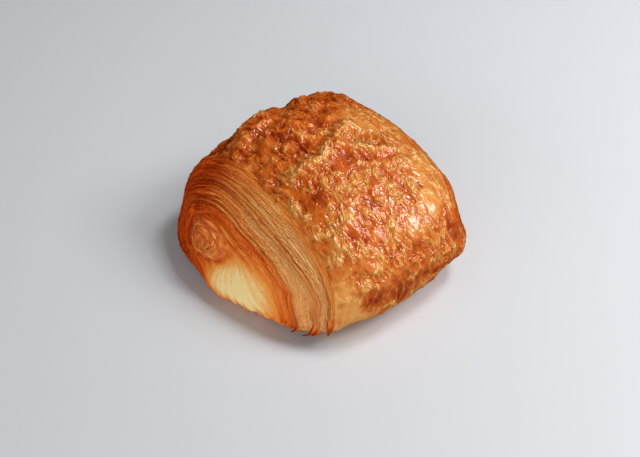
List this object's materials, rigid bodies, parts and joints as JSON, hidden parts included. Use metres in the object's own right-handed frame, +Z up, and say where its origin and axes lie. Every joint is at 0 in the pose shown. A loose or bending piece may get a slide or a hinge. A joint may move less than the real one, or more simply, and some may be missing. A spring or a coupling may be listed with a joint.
{
  "type": "pain au chocolat",
  "caption": "Rolled laminated breakfast pastry, baked and uncut, with a glazed wrinkled crown and layered swirls at its ends.",
  "frame": {"origin": "on the flat base, under the middle of the pastry's box", "axes": "+X along the roll, from the end with the large open swirl to the fuller end; +Y to the back; +Z up from the base"},
  "size_m": [0.1111, 0.1116, 0.0544],
  "materials": {
    "crust": "browned egg-washed crust, glossy on the crown and drier on the layered ends"
  },
  "bodies": {
    "root": {"pastry": "crust"}
  },
  "joints": []
}
